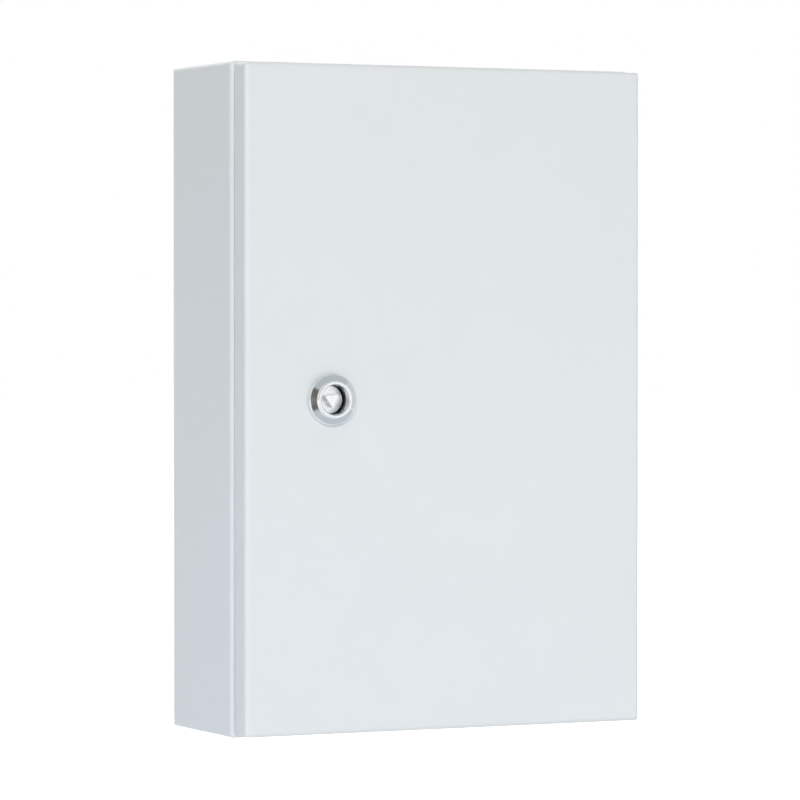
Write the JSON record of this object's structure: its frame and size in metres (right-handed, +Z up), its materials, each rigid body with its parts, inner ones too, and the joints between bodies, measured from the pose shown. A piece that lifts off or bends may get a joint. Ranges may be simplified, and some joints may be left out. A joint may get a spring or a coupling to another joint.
{
  "type": "wall enclosure",
  "caption": "Shallow steel wall enclosure with an overlapping hinged door, a quarter-turn lock, a mounting plate inside and a gland plate in the floor.",
  "frame": {"origin": "centre of the face that meets the wall, in the middle of the wall holes", "axes": "+Z up, +X right for someone in front of the door, +Y into the wall, so the door faces -Y"},
  "size_m": [0.2, 0.0853, 0.3],
  "materials": {
    "body_paint": "light grey powder coat with a fine texture",
    "door_paint": "light grey powder coat with a fine texture",
    "lock_chrome": "satin chrome on die-cast zinc",
    "zinc_plate": "bright zinc plating",
    "galvanised_sheet": "galvanised sheet with a faint spangle",
    "gasket_foam": "black foamed gasket with a matt skin",
    "copper_flash": "copper-flashed weld stud",
    "brass": "plain brass"
  },
  "bodies": {
    "enclosure": {"body_shell": "body_paint", "hinge_body_leaf_upper": "zinc_plate", "hinge_body_leaf_lower": "zinc_plate", "hinge_pin_upper": "zinc_plate", "hinge_pin_lower": "zinc_plate", "hinge_rivets": "zinc_plate", "mounting_plate": "galvanised_sheet", "plate_studs": "copper_flash", "plate_spacers": "zinc_plate", "plate_washers": "zinc_plate", "plate_nuts": "zinc_plate", "gland_plate": "body_paint", "gland_gasket": "gasket_foam", "gland_studs": "copper_flash", "gland_nuts": "zinc_plate", "body_earth_stud": "copper_flash", "body_earth_washer": "zinc_plate", "body_earth_nut": "brass"},
    "door": {"door_shell": "door_paint", "door_gasket": "gasket_foam", "hinge_door_leaf_upper": "zinc_plate", "hinge_door_leaf_lower": "zinc_plate", "hinge_door_studs": "copper_flash", "hinge_door_nuts": "zinc_plate", "door_earth_stud": "copper_flash", "door_earth_washer": "zinc_plate", "door_earth_nut": "brass", "lock_housing": "lock_chrome", "lock_seal": "gasket_foam", "lock_nut": "zinc_plate"},
    "lock": {"lock_core": "lock_chrome", "lock_stop_washer": "zinc_plate", "lock_cam": "zinc_plate", "cam_washer": "zinc_plate", "cam_screw": "zinc_plate"}
  },
  "joints": [
    {"name": "door_hinge", "type": "hinge", "parent": "enclosure", "child": "door", "pos_m": [0.0948, -0.0733, 0], "axis": [0, 0, 1], "range_deg": [0, 120]},
    {"name": "lock_turn", "type": "hinge", "parent": "door", "child": "lock", "pos_m": [-0.0575, -0.08, 0], "axis": [0, 1, 0], "range_deg": [0, 90]}
  ]
}
